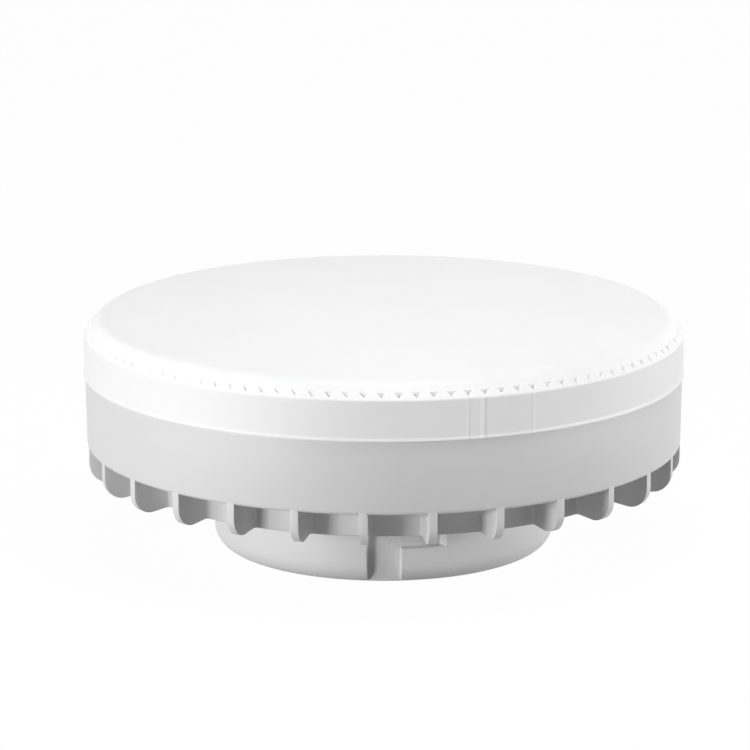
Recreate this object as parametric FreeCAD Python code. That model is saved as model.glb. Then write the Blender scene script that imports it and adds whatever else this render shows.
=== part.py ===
"""A flat led disc lamp: opal cover, finned white body, slotted hub and two cap pins.

The origin is the centre of the hub's foot and +Z points up, to the lit face.  The front is -Y,
where one of the two bayonet slots opens.  Everything is in millimetres.
"""

import FreeCAD
import Part
import math
import os

# heights of the body, from the hub's foot up
hub_height = 11.0
skirt_drop = 1.8
fin_drop = 0.3
step_rise = 2.1
band_height = 9.05
base_z = hub_height
skirt_z = base_z - skirt_drop
fin_z = skirt_z - fin_drop
step_z = base_z + step_rise
rim_z = step_z + band_height

# walls of the body
shell_wall = 1.6
hub_floor = 1.6
rim_wall = 1.6
floor_z = base_z + shell_wall
ledge_width = 1.5
ledge_drop = 4.95
ledge_z = rim_z - ledge_drop

# radii of the body, worked outwards and inwards from the circle of the cap pins
pin_spacing = 53.0
pin_to_hub = 5.25
pin_to_skirt = 5.7
fin_reach = 5.1
band_draft = 0.15
hub_foot_round = 2.4
band_foot_bevel = 0.5
pin_x = pin_spacing / 2
hub_radius = pin_x - pin_to_hub
hub_bore = hub_radius - shell_wall
skirt_radius = pin_x + pin_to_skirt
skirt_bore = skirt_radius - shell_wall
band_radius_top = skirt_radius + fin_reach
band_radius_foot = band_radius_top - band_draft
rim_bore = band_radius_top - rim_wall
ledge_bore = rim_bore - ledge_width
joint_overlap = 0.5
cutter_overshoot = 1.0

# cooling fins
fin_count = 28
fin_thickness = 1.0
fin_corner = 1.7
fin_phase = -3.88
fin_pitch = 360 / fin_count

# bayonet slots in the hub, angles run from the front towards +X
slot_count = 2
slot_mouth = 4.3
slot_flare = 0.8
slot_depth = 1.8
slot_ledge_z = 4.6
slot_rise = 3.6
slot_turn = 21.1
slot_lead_in = 0.8
slot_floor_radius = hub_radius - slot_depth
slot_back_radius = slot_floor_radius - shell_wall
slot_mouth_half_angle = math.degrees(math.asin(slot_mouth / 2 / hub_radius))
slot_back_margin = 4.5

# opal cover
cover_overhang = 0.1
cover_side_height = 5.0
bevel_height = 1.1
bevel_width = 1.1
shoulder_width = 2.0
shoulder_height = 0.9
dome_rise = 0.35
cover_wall = 1.5
lip_height = 0.35
lip_width = 0.1
cover_shelf_fall = 0.4
collar_wall = 1.2
collar_clearance = 0.15
collar_depth = 3.1
snap_bead = 0.3
snap_drop = 1.9
snap_half_height = 0.5
snap_clearance = 0.1
cover_radius = band_radius_top + cover_overhang
bevel_z = rim_z + cover_side_height
shoulder_z = bevel_z + bevel_height
shoulder_radius = cover_radius - bevel_width
top_radius = shoulder_radius - shoulder_width
top_z = shoulder_z + shoulder_height
collar_radius = rim_bore - collar_clearance
collar_foot_z = rim_z - collar_depth
snap_z = rim_z - snap_drop

# notches round the cover's bevel
notch_count = 112
notch_phase = -0.5
notch_width = 1.25
notch_depth = 1.0
notch_inset = 0.15
notch_tip_rise = 0.05

# led side: spreader, board, chips and screws
spreader_thickness = 1.5
spreader_clearance = 0.4
spreader_collar_lift = 0.5
spreader_collar_wall = 1.2
spreader_collar_gap = 0.4
led_board_thickness = 1.0
led_board_margin = 0.7
spreader_z = ledge_z
spreader_collar_z = step_z + shell_wall + spreader_collar_lift
spreader_radius = rim_bore - spreader_clearance
led_board_z = spreader_z + spreader_thickness
led_board_radius = collar_radius - collar_wall - led_board_margin
led_top_z = led_board_z + led_board_thickness
chip_length = 3.5
chip_width = 2.8
chip_height = 0.7
chip_window = 0.12
chip_rim = 0.45
outer_chip_count = 18
outer_chip_inset = 3.6
inner_chip_count = 9
chip_row_gap = 13.05
outer_chip_radius = led_board_radius - outer_chip_inset
inner_chip_radius = outer_chip_radius - chip_row_gap
screw_count = 3
screw_inset = 0.5
screw_radius = 1.2
screw_tip_gap = 0.1
screw_circle = pin_x - screw_inset
screw_tip_z = floor_z + screw_tip_gap
screw_head_radius = 2.2
screw_head_height = 1.5
screw_recess_width = 0.5
screw_recess_depth = 0.8
screw_clearance = 0.2
screw_grip = 0.05
boss_radius = 2.8

# cap pins and their strips
pin_length = 6.0
pin_head_radius = 2.5
pin_head_height = 1.9
pin_head_bevel = 0.4
pin_neck_radius = 1.65
pin_collar_radius = 2.4
pin_collar_height = 0.6
pin_tail_radius = 1.1
pin_rivet_radius = 1.9
pin_rivet_height = 0.6
pin_clearance = 0.05
pin_tip_z = base_z - pin_length
strip_thickness = 0.5
strip_width = 3.0
strip_overrun = 2.2
strip_foot = 3.0
strip_gap = 0.35

# driver board, seated on ribs in the hub
driver_board_drop = 1.0
driver_board_thickness = 1.2
driver_board_gap = 0.3
rib_width = 1.6
rib_reach = 2.5
rib_angles = (20, 160, 210, 330)
driver_z = base_z - driver_board_drop
driver_top_z = driver_z + driver_board_thickness
driver_board_radius = hub_bore - driver_board_gap
under_room = driver_z - hub_floor
over_room = spreader_z - driver_top_z

# components: each seat is an x and y on the driver board
lead_radius = 0.3
lead_clearance = 0.1
capacitor_seat = (6.6, 6.9)
capacitor_radius = 4.0
capacitor_headroom = 0.7
capacitor_lead_pitch = 3.5
capacitor_groove_drop = 1.9
capacitor_groove_height = 0.7
capacitor_groove_depth = 0.35
choke_seat = (-6.7, 6.6)
choke_flange_radius = 4.2
choke_flange_height = 1.1
choke_headroom = 1.9
choke_core_radius = 2.1
choke_winding_inset = 0.5
choke_lead_pitch = 5.0
film_seat = (4.4, -7.9)
film_length = 10.5
film_width = 5.0
film_headroom = 1.6
film_lead_pitch = 7.5
varistor_seat = (-5.8, -8.9)
varistor_headroom = 1.4
varistor_thickness = 3.2
varistor_lead_pitch = 5.0
varistor_radius = (under_room - varistor_headroom) / 2
fuse_seat = (0, -1.6)
fuse_radius = 1.4
fuse_length = 7.0
fuse_cap_length = 1.2
fuse_cap_step = 0.15
fuse_lead_pitch = 9.4
fuse_wire_radius = 0.2
bridge_seat = (0.6, -3.2)
bridge_size = (5.0, 4.2, 1.6)
chip_seat = (7.1, -4.6)
chip_size = (5.0, 3.9, 1.5)
chip_lead_length = 0.8
chip_lead_width = 0.4
chip_lead_thickness = 0.25
diode_seat = (7.4, 2.6)
diode_size = (4.4, 2.7, 2.1)
output_seat = (-7.4, -5.0)
output_radius = 3.15
output_headroom = 0.6
output_base_height = 0.8
resistor_size = (2.0, 1.25, 0.55)
resistor_seats = ((-10.0, 3.8), (-8.6, 1.4), (-2.2, 3.6), (2.2, 3.6), (5.0, 11.6), (9.4, 8.4))
link_seat = (0, 6.5)
link_pitch = 2.54
link_pin_width = 0.64
link_block = (5.1, 2.5, 2.4)
link_socket = (7.0, 3.6, 2.6)
link_opening = (7.6, 4.2)
link_clearance = 0.08
link_tail = 0.8

UP = FreeCAD.Vector(0, 0, 1)
ORIGIN = FreeCAD.Vector(0, 0, 0)


def at(radius, z):
    """A point of a turned outline."""
    return FreeCAD.Vector(radius, 0, z)


def line(a, b):
    return Part.makeLine(at(*a), at(*b))


def arc(a, middle, b):
    return Part.Arc(at(*a), at(*middle), at(*b)).toShape()


def dome_arc(edge, top_z):
    """The arc from an edge point up to the axis, centred on the axis."""
    radius, z = edge
    rise = top_z - z
    ball = (radius ** 2 + rise ** 2) / (2 * rise)
    middle = (radius / 2, top_z - ball + math.sqrt(ball ** 2 - radius ** 2 / 4))
    return arc(edge, middle, (0, top_z))


def turned(edges):
    """The solid swept by a closed outline of edges, given as (radius, z), about the lamp's axis."""
    return Part.Face(Part.Wire(edges)).revolve(ORIGIN, UP, 360)


def turned_polygon(points):
    closed = [at(*point) for point in points + points[:1]]
    return Part.Face(Part.makePolygon(closed)).revolve(ORIGIN, UP, 360)


def cut_through(low, high):
    """The foot and height of a cutter that opens everything between two heights."""
    return low - cutter_overshoot, high - low + 2 * cutter_overshoot


def disc(radius, z, height, x=0, y=0):
    return Part.makeCylinder(radius, height, FreeCAD.Vector(x, y, z))


def block(size, z, x=0, y=0):
    """A box centred on x, y that stands on z."""
    corner = FreeCAD.Vector(x - size[0] / 2, y - size[1] / 2, z)
    return Part.makeBox(size[0], size[1], size[2], corner)


def prism(points, z, height):
    """A flat outline of (x, y) points raised from z."""
    closed = [FreeCAD.Vector(x, y, z) for x, y in points + points[:1]]
    return Part.Face(Part.makePolygon(closed)).extrude(FreeCAD.Vector(0, 0, height))


def turned_about_axis(shape, degrees):
    copy = shape.copy()
    copy.rotate(ORIGIN, UP, degrees)
    return copy


def ring_of(shape, count, first=0):
    return [turned_about_axis(shape, first + 360 * i / count) for i in range(count)]


def ring_sector(inner, outer, z, height, start, end):
    """A piece of a ring between two angles from +X, counted anticlockwise."""
    piece = Part.makeCylinder(outer, height, FreeCAD.Vector(0, 0, z), UP, end - start)
    piece.rotate(ORIGIN, UP, start)
    return piece.cut(disc(inner, z, height))


def polar(radius, degrees):
    return radius * math.cos(math.radians(degrees)), radius * math.sin(math.radians(degrees))


def front(degrees):
    """An angle from +X for one that is counted from the front towards +X."""
    return degrees - 90


def band_radius(z):
    """The drafted outer radius of band and fins at a height."""
    return band_radius_foot + (band_radius_top - band_radius_foot) * (z - step_z) / band_height


# body

def body_outside():
    """The body's outer form with a full ring where the fins are."""
    foot_round = hub_foot_round * (1 - math.sqrt(0.5))
    points = [
        (hub_radius, hub_foot_round),
        (hub_radius, base_z),
        (skirt_bore, base_z),
        (skirt_bore, skirt_z),
        (skirt_radius, skirt_z),
        (band_radius(fin_z), fin_z),
        (band_radius_top, rim_z),
        (0, rim_z),
    ]
    edges = [line((0, rim_z), (0, 0)), line((0, 0), (hub_radius - hub_foot_round, 0))]
    edges.append(arc((hub_radius - hub_foot_round, 0), (hub_radius - foot_round, foot_round), points[0]))
    edges += [line(a, b) for a, b in zip(points, points[1:])]
    return turned(edges)


def fin_corner_cut():
    """What rounds off the foot corner of the fin at +X."""
    centre_x = band_radius(fin_z + fin_corner) - fin_corner
    low = fin_z - cutter_overshoot
    corner = FreeCAD.Vector(centre_x, -fin_thickness, low)
    piece = Part.makeBox(fin_corner + cutter_overshoot, 2 * fin_thickness, fin_z + fin_corner - low, corner)
    axis_point = FreeCAD.Vector(centre_x, -fin_thickness, fin_z + fin_corner)
    return piece.cut(Part.makeCylinder(fin_corner, 2 * fin_thickness, axis_point, FreeCAD.Vector(0, 1, 0)))


def fin_gap():
    """The space between two fins: parallel-sided fins leave a wedge, with a bevel round the band's foot."""
    low = fin_z - cutter_overshoot
    apex = fin_thickness / 2 / math.sin(math.radians(fin_pitch / 2))
    reach = 2 * band_radius_top
    side_x, side_y = polar(reach, fin_pitch / 2)
    bevel_top_z = step_z + band_foot_bevel
    height = bevel_top_z + cutter_overshoot - low
    wedge = prism([(apex, 0), (apex + side_x, -side_y), (apex + side_x, side_y)], low, height)
    bevel_radius = band_radius(bevel_top_z)
    outer = band_radius_top + cutter_overshoot
    ring = turned_polygon([
        (skirt_radius, low),
        (skirt_radius, step_z),
        (bevel_radius - band_foot_bevel, step_z),
        (bevel_radius, bevel_top_z),
        (outer, bevel_top_z),
        (outer, low),
    ])
    return wedge.common(ring)


def fin_gaps():
    return ring_of(fin_gap(), fin_count, front(fin_phase + fin_pitch / 2))


def slot():
    """One bayonet slot: a mouth at the hub's foot and a leg that turns towards +X above a ledge."""
    outer = hub_radius + cutter_overshoot
    half = slot_mouth / 2
    sunk = slot_floor_radius - joint_overlap
    inner_half = half * slot_floor_radius / hub_radius
    flare = slot_flare * (outer - slot_floor_radius) / slot_depth
    mouth = prism([
        (-inner_half + slot_flare, -sunk),
        (-inner_half + slot_flare, -slot_floor_radius),
        (-inner_half + slot_flare - flare - half * (outer - slot_floor_radius) / hub_radius, -outer),
        (half * outer / hub_radius, -outer),
        (inner_half, -slot_floor_radius),
        (inner_half, -sunk),
    ], -cutter_overshoot, slot_ledge_z + slot_rise + cutter_overshoot)
    leg = ring_sector(slot_floor_radius, outer, slot_ledge_z, slot_rise,
                      front(0), front(slot_turn))
    corner_x = -inner_half + slot_flare - slot_lead_in
    lead_in = Part.makeBox(slot_lead_in + joint_overlap, outer, slot_lead_in + cutter_overshoot,
                           FreeCAD.Vector(corner_x, -outer, -cutter_overshoot))
    lead_in = lead_in.cut(Part.makeCylinder(slot_lead_in, outer,
                                            FreeCAD.Vector(corner_x, -outer, slot_lead_in),
                                            FreeCAD.Vector(0, 1, 0)))
    core = disc(slot_floor_radius, -2 * cutter_overshoot, base_z + 2 * cutter_overshoot)
    return mouth.fuse([leg, lead_in]).cut(core)


def slot_backing(gap=0):
    """The hub's thicker wall behind a slot."""
    extra = math.degrees(gap / hub_bore)
    start = front(-slot_mouth_half_angle - slot_back_margin - extra)
    end = front(slot_turn + slot_back_margin + extra)
    foot_z = hub_floor - joint_overlap
    return ring_sector(slot_back_radius - gap, hub_bore + joint_overlap, foot_z, floor_z - foot_z, start, end)


def board_rib():
    height = driver_z - hub_floor + joint_overlap
    corner = FreeCAD.Vector(hub_bore - rib_reach, -rib_width / 2, hub_floor - joint_overlap)
    return Part.makeBox(rib_reach + joint_overlap, rib_width, height, corner)


def body_inside():
    """The hollow of the body, less its ribs, bosses and slot backings."""
    step_inside_z = step_z + shell_wall
    groove = snap_half_height + snap_clearance
    groove_radius = rim_bore + snap_bead - collar_clearance + snap_clearance
    hollow = turned_polygon([
        (0, hub_floor),
        (hub_bore, hub_floor),
        (hub_bore, floor_z),
        (skirt_bore, floor_z),
        (skirt_bore, step_inside_z),
        (ledge_bore, step_inside_z),
        (ledge_bore, ledge_z),
        (rim_bore, ledge_z),
        (rim_bore, snap_z - groove),
        (groove_radius, snap_z),
        (rim_bore, snap_z + groove),
        (rim_bore, rim_z + cutter_overshoot),
        (0, rim_z + cutter_overshoot),
    ])
    keep = ring_of(slot_backing(), slot_count)
    keep += [turned_about_axis(board_rib(), degrees) for degrees in rib_angles]
    boss_foot_z = floor_z - joint_overlap
    boss = disc(boss_radius, boss_foot_z, ledge_z - boss_foot_z, screw_circle, 0)
    keep += ring_of(boss, screw_count, 90)
    return hollow.cut(keep)


def body_shell():
    pin_bore = disc(pin_neck_radius + pin_clearance, *cut_through(base_z, floor_z), pin_x, 0)
    boss_hole = disc(screw_radius + screw_grip, floor_z, ledge_z - floor_z + cutter_overshoot, screw_circle, 0)
    cuts = [body_inside()]
    cuts += ring_of(slot(), slot_count)
    cuts += ring_of(pin_bore, 2)
    cuts += ring_of(boss_hole, screw_count, 90)
    outside = body_outside().cut(fin_gaps())
    outside = outside.cut(ring_of(fin_corner_cut(), fin_count, front(fin_phase)))
    return outside.cut(cuts)


# cover

def notch():
    """A vee across the cover's bevel, its tip near the bevel's foot."""
    inner = shoulder_radius + notch_inset
    tip_z = bevel_z + notch_tip_rise
    top_rise = notch_depth + cutter_overshoot
    half = notch_width / 2 * top_rise / notch_depth
    points = [(-half, tip_z + top_rise), (half, tip_z + top_rise), (0, tip_z)]
    closed = [FreeCAD.Vector(inner, y, z) for y, z in points + points[:1]]
    return Part.Face(Part.makePolygon(closed)).extrude(FreeCAD.Vector(bevel_width + cutter_overshoot, 0, 0))


def diffuser_cover():
    """The opal cap: domed top, rounded shoulder, notched bevel, side wall and snap collar."""
    lip_radius = cover_radius + lip_width
    collar_bore = collar_radius - collar_wall
    wall_bore = cover_radius - cover_wall
    shoulder_middle = (top_radius + shoulder_width * 0.66, top_z - shoulder_height * 0.3)
    crown_z = top_z + dome_rise
    under_edge = (top_radius, top_z - cover_wall)
    bead_radius = collar_radius + snap_bead
    inside = [
        under_edge,
        (wall_bore, shoulder_z - cover_wall),
        (wall_bore, rim_z + cover_wall),
        (collar_bore, rim_z + cover_wall - cover_shelf_fall),
        (collar_bore, collar_foot_z),
        (collar_radius, collar_foot_z),
        (collar_radius, snap_z - snap_half_height),
        (bead_radius, snap_z),
        (collar_radius, snap_z + snap_half_height),
        (collar_radius, rim_z),
        (lip_radius, rim_z),
        (lip_radius, rim_z + lip_height - lip_width),
        (cover_radius, rim_z + lip_height),
        (cover_radius, bevel_z),
        (shoulder_radius, shoulder_z),
    ]
    edges = [dome_arc(under_edge, crown_z - cover_wall)]
    edges += [line(a, b) for a, b in zip(inside, inside[1:])]
    edges.append(arc(inside[-1], shoulder_middle, (top_radius, top_z)))
    edges.append(dome_arc((top_radius, top_z), crown_z))
    edges.append(line((0, crown_z), (0, crown_z - cover_wall)))
    return turned(edges).cut(ring_of(notch(), notch_count, front(notch_phase)))


# led side

def pin_wells(low, high):
    """The square holes for the link pins through everything between two heights."""
    width = link_pin_width + 2 * link_clearance
    foot_z, height = cut_through(low, high)
    return [block((width, width, height), foot_z, x, y) for x, y in pair(link_seat, link_pitch)]


def heat_spreader():
    """Pressed aluminium plate with a locating collar turned down inside the body's ledge."""
    collar = ledge_bore - spreader_collar_gap
    plate = turned_polygon([
        (0, spreader_z),
        (collar - spreader_collar_wall, spreader_z),
        (collar - spreader_collar_wall, spreader_collar_z),
        (collar, spreader_collar_z),
        (collar, spreader_z),
        (spreader_radius, spreader_z),
        (spreader_radius, led_board_z),
        (0, led_board_z),
    ])
    foot_z, height = cut_through(spreader_z, led_board_z)
    hole = disc(screw_radius + screw_clearance, foot_z, height, screw_circle, 0)
    opening = block((*link_opening, height), foot_z, *link_seat)
    return plate.cut(ring_of(hole, screw_count, 90) + [opening])


def led_board():
    board = disc(led_board_radius, led_board_z, led_board_thickness)
    hole = disc(screw_radius + screw_clearance, *cut_through(led_board_z, led_top_z), screw_circle, 0)
    return board.cut(ring_of(hole, screw_count, 90) + pin_wells(led_board_z, led_top_z))


def led_chip(radius):
    """A flat led package with a shallow lit window, its long side across the radius."""
    body = block((chip_width, chip_length, chip_height), led_top_z, radius, 0)
    window = block((chip_width - 2 * chip_rim, chip_length - 2 * chip_rim, chip_height),
                   led_top_z + chip_height - chip_window, radius, 0)
    return body.cut(window)


def led_chips():
    chips = ring_of(led_chip(outer_chip_radius), outer_chip_count)
    chips += ring_of(led_chip(inner_chip_radius), inner_chip_count)
    return Part.makeCompound(chips)


def board_screw():
    """A pan-head screw with a cross recess."""
    head = disc(screw_head_radius, led_top_z, screw_head_height, screw_circle, 0)
    shank = disc(screw_radius, screw_tip_z, led_top_z - screw_tip_z, screw_circle, 0)
    recess_z = led_top_z + screw_head_height - screw_recess_depth
    long_side = 1.3 * screw_head_radius
    recess = block((long_side, screw_recess_width, screw_head_height), recess_z, screw_circle, 0)
    recess = recess.fuse(block((screw_recess_width, long_side, screw_head_height), recess_z, screw_circle, 0))
    return head.fuse(shank).cut(recess)


def board_screws():
    return Part.makeCompound(ring_of(board_screw(), screw_count, 90))


# cap pins

def contact_pin(side):
    """A mushroom pin: bevelled head, neck, collar under the base plane and a riveted tail."""
    head_top = pin_tip_z + pin_head_height
    strip_top = floor_z + strip_thickness
    pin = turned_polygon([
        (0, pin_tip_z),
        (pin_head_radius - pin_head_bevel, pin_tip_z),
        (pin_head_radius, pin_tip_z + pin_head_bevel),
        (pin_head_radius, head_top),
        (pin_neck_radius, head_top + pin_head_radius - pin_neck_radius),
        (pin_neck_radius, base_z - pin_collar_height),
        (pin_collar_radius, base_z - pin_collar_height),
        (pin_collar_radius, base_z),
        (pin_neck_radius, base_z),
        (pin_neck_radius, floor_z),
        (pin_tail_radius, floor_z),
        (pin_tail_radius, strip_top),
        (pin_rivet_radius, strip_top),
        (pin_tail_radius, strip_top + pin_rivet_height),
        (0, strip_top + pin_rivet_height),
    ])
    pin.translate(FreeCAD.Vector(side * pin_x, 0, 0))
    return pin


def contact_strip(side):
    """A flat strip from the pin's rivet, down beside the hub's bore, to a foot on the board."""
    bend_x = driver_board_radius - strip_gap + driver_board_gap
    inner_x = bend_x - strip_thickness
    outer_x = pin_x + strip_overrun
    points = [
        (outer_x, floor_z),
        (bend_x, floor_z),
        (bend_x, driver_top_z),
        (bend_x - strip_foot, driver_top_z),
        (bend_x - strip_foot, driver_top_z + strip_thickness),
        (inner_x, driver_top_z + strip_thickness),
        (inner_x, floor_z + strip_thickness),
        (outer_x, floor_z + strip_thickness),
    ]
    closed = [FreeCAD.Vector(x, -strip_width / 2, z) for x, z in points + points[:1]]
    strip = Part.Face(Part.makePolygon(closed)).extrude(FreeCAD.Vector(0, strip_width, 0))
    tail_hole = cut_through(floor_z, floor_z + strip_thickness)
    strip = strip.cut(disc(pin_tail_radius + pin_clearance, *tail_hole, pin_x, 0))
    return strip if side > 0 else turned_about_axis(strip, 180)


# driver

def pair(place, pitch):
    """The two lead places of a component, across its seat along X."""
    x, y = place
    return [(x - pitch / 2, y), (x + pitch / 2, y)]


def lead_places():
    places = pair(capacitor_seat, capacitor_lead_pitch)
    places += pair(choke_seat, choke_lead_pitch)
    places += pair(film_seat, film_lead_pitch)
    places += pair(varistor_seat, varistor_lead_pitch)
    places += pair(fuse_seat, fuse_lead_pitch)
    return places


def with_leads(body, place, pitch, low=driver_z):
    leads = [disc(lead_radius, low, driver_top_z - low, x, y) for x, y in pair(place, pitch)]
    return body.fuse(leads)


def driver_board():
    board = disc(driver_board_radius, driver_z, driver_board_thickness)
    through = cut_through(driver_z, driver_top_z)
    holes = [disc(lead_radius + lead_clearance, *through, x, y) for x, y in lead_places()]
    holes += pin_wells(driver_z, driver_top_z)
    return board.cut(ring_of(slot_backing(driver_board_gap), slot_count) + holes)


def smoothing_capacitor():
    x, y = capacitor_seat
    height = under_room - capacitor_headroom
    can = disc(capacitor_radius, driver_z - height, height, x, y)
    groove_z = driver_z - capacitor_groove_drop
    groove = disc(capacitor_radius + cutter_overshoot, groove_z, capacitor_groove_height, x, y)
    neck = disc(capacitor_radius - capacitor_groove_depth, groove_z, capacitor_groove_height, x, y)
    groove = groove.cut(neck)
    return with_leads(can.cut(groove), capacitor_seat, capacitor_lead_pitch)


def choke_core():
    """A drum core that hangs from the board."""
    x, y = choke_seat
    height = under_room - choke_headroom
    low = disc(choke_flange_radius, driver_z - height, choke_flange_height, x, y)
    high = disc(choke_flange_radius, driver_z - choke_flange_height, choke_flange_height, x, y)
    middle = disc(choke_core_radius, driver_z - height, height, x, y)
    return with_leads(middle.fuse([low, high]), choke_seat, choke_lead_pitch)


def choke_winding():
    x, y = choke_seat
    height = under_room - choke_headroom - 2 * choke_flange_height
    z = driver_z - choke_flange_height - height
    coil = disc(choke_flange_radius - choke_winding_inset, z, height, x, y)
    return coil.cut(disc(choke_core_radius, z, height, x, y))


def film_capacitor():
    x, y = film_seat
    height = under_room - film_headroom
    return with_leads(block((film_length, film_width, height), driver_z - height, x, y),
                      film_seat, film_lead_pitch)


def varistor():
    """A coated disc on edge."""
    x, y = varistor_seat
    middle = FreeCAD.Vector(x, y - varistor_thickness / 2, driver_z - varistor_radius)
    body = Part.makeCylinder(varistor_radius, varistor_thickness, middle, FreeCAD.Vector(0, 1, 0))
    return with_leads(body, varistor_seat, varistor_lead_pitch, driver_z - varistor_radius)


def fuse_resistor():
    """A fusible resistor laid along X against the board, its leads bent up through it."""
    x, y = fuse_seat
    along = FreeCAD.Vector(1, 0, 0)
    z = driver_z - fuse_radius
    body = Part.makeCylinder(fuse_radius - fuse_cap_step, fuse_length,
                             FreeCAD.Vector(x - fuse_length / 2, y, z), along)
    caps = [Part.makeCylinder(fuse_radius, fuse_cap_length, FreeCAD.Vector(start, y, z), along)
            for start in (x - fuse_length / 2, x + fuse_length / 2 - fuse_cap_length)]
    wire = Part.makeCylinder(fuse_wire_radius, fuse_lead_pitch,
                             FreeCAD.Vector(x - fuse_lead_pitch / 2, y, z), along)
    low = z - 2 * fuse_wire_radius
    return with_leads(body.fuse(caps + [wire]), fuse_seat, fuse_lead_pitch, low)


def bridge_rectifier():
    x, y = bridge_seat
    return block(bridge_size, driver_top_z, x, y)


def driver_chip():
    """A small chip with four flat leads on each long side."""
    x, y = chip_seat
    pitch = chip_size[0] / 4
    body = block(chip_size, driver_top_z, x, y)
    reach = chip_size[1] + 2 * chip_lead_length
    leads = [block((chip_lead_width, reach, chip_lead_thickness), driver_top_z, x + (i - 1.5) * pitch, y)
             for i in range(4)]
    return body.fuse(leads)


def freewheel_diode():
    x, y = diode_seat
    return block(diode_size, driver_top_z, x, y)


def output_capacitor():
    """A low can on a square base."""
    x, y = output_seat
    side = 2 * output_radius
    base = block((side, side, output_base_height), driver_top_z, x, y)
    height = over_room - output_headroom
    return base.fuse(disc(output_radius, driver_top_z, height, x, y))


def chip_resistors():
    return Part.makeCompound([block(resistor_size, driver_top_z, *place) for place in resistor_seats])


# link between the boards

def link_header():
    top_z = driver_top_z + link_block[2]
    return block(link_block, driver_top_z, *link_seat).cut(pin_wells(driver_top_z, top_z))


def link_pins():
    low = driver_z - link_tail
    high = led_top_z + link_socket[2]
    size = (link_pin_width, link_pin_width, high - low)
    return Part.makeCompound([block(size, low, x, y) for x, y in pair(link_seat, link_pitch)])


def link_socket_block():
    return block(link_socket, led_top_z, *link_seat).cut(pin_wells(led_top_z, led_top_z + link_socket[2]))


NODES = {
    "diffuser_cover": diffuser_cover,
    "body_shell": body_shell,
    "contact_pin_left": lambda: contact_pin(-1),
    "contact_pin_right": lambda: contact_pin(1),
    "contact_strip_left": lambda: contact_strip(-1),
    "contact_strip_right": lambda: contact_strip(1),
    "heat_spreader": heat_spreader,
    "led_board": led_board,
    "led_chips": led_chips,
    "board_screws": board_screws,
    "driver_board": driver_board,
    "smoothing_capacitor": smoothing_capacitor,
    "choke_core": choke_core,
    "choke_winding": choke_winding,
    "film_capacitor": film_capacitor,
    "varistor": varistor,
    "fuse_resistor": fuse_resistor,
    "bridge_rectifier": bridge_rectifier,
    "driver_chip": driver_chip,
    "freewheel_diode": freewheel_diode,
    "output_capacitor": output_capacitor,
    "chip_resistors": chip_resistors,
    "link_header": link_header,
    "link_pins": link_pins,
    "link_socket": link_socket_block,
}

os.makedirs("parts", exist_ok=True)
for name, make in NODES.items():
    shape = make()
    shape.exportStep("parts/%s.step" % name)
    print(name, len(shape.Solids), "solids", round(shape.Volume, 1), "mm3", shape.isValid())
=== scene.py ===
"""The flat led disc lamp, dressed: opal cover, finned white body, pins and what is inside.

Lengths are in millimetres and angles in degrees, unless a comment says otherwise. MM turns a
length into the metres of the frame.
"""

import math

import bmesh
import bpy
from mathutils import Matrix, Vector


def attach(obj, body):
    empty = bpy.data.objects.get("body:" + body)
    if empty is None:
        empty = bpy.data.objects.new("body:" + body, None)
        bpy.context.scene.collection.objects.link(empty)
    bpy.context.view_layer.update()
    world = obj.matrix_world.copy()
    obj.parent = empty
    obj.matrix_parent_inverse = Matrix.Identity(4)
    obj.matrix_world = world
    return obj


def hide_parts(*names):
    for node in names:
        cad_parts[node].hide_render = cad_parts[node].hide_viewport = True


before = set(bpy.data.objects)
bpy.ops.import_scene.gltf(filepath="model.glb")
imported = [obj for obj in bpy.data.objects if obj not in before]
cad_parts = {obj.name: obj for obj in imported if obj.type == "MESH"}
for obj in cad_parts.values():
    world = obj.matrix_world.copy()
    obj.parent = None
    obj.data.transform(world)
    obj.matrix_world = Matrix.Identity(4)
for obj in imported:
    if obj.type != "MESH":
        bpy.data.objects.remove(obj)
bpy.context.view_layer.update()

MM = 0.001
FRONT = -90.0


# the body's ring: band, step, skirt and base plate

BASE_Z = 11.0
FLOOR_Z = 12.6
SKIRT_Z = 9.2
SKIRT_RADIUS = 32.2
SKIRT_BORE = 30.6
STEP_Z = 13.1
STEP_INSIDE_Z = 14.7
LEDGE_BORE = 34.2
LEDGE_Z = 17.2
RIM_Z = 22.15
RIM_BORE = 35.7
BAND_TOP = 37.3
BAND_FOOT = 37.15
BAND_FOOT_ROUND = 0.5
OVERLAP = 0.4  # how far the shapes of one moulding run into each other

# the fins

FIN_COUNT = 28
FIN_PHASE = -3.88
FIN_THICKNESS = 1.0
FIN_CORNER = 2.4
FIN_Z = 8.95
FIN_TOP_Z = STEP_Z + 1.6
FIN_INSET = 0.006  # from the band's face
FIN_FILLET = 0.42
FIN_EDGE = 0.07
FIN_ROOT_SINK = 0.05  # into the skirt
FIN_ROOT_RISE = 0.06  # above the skirt's foot
FIN_HEEL_RISE = 0.5  # the same at the fin's inner end, inside the skirt's wall

# the hub, its slots, the ribs for the driver board and the screw bosses

HUB_RADIUS = 21.25
HUB_BORE = 19.65
HUB_FLOOR = 1.6
HUB_TOP_Z = BASE_Z + 0.8
HUB_FOOT_ROUND = 2.4
HUB_EDGE = 0.1

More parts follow.
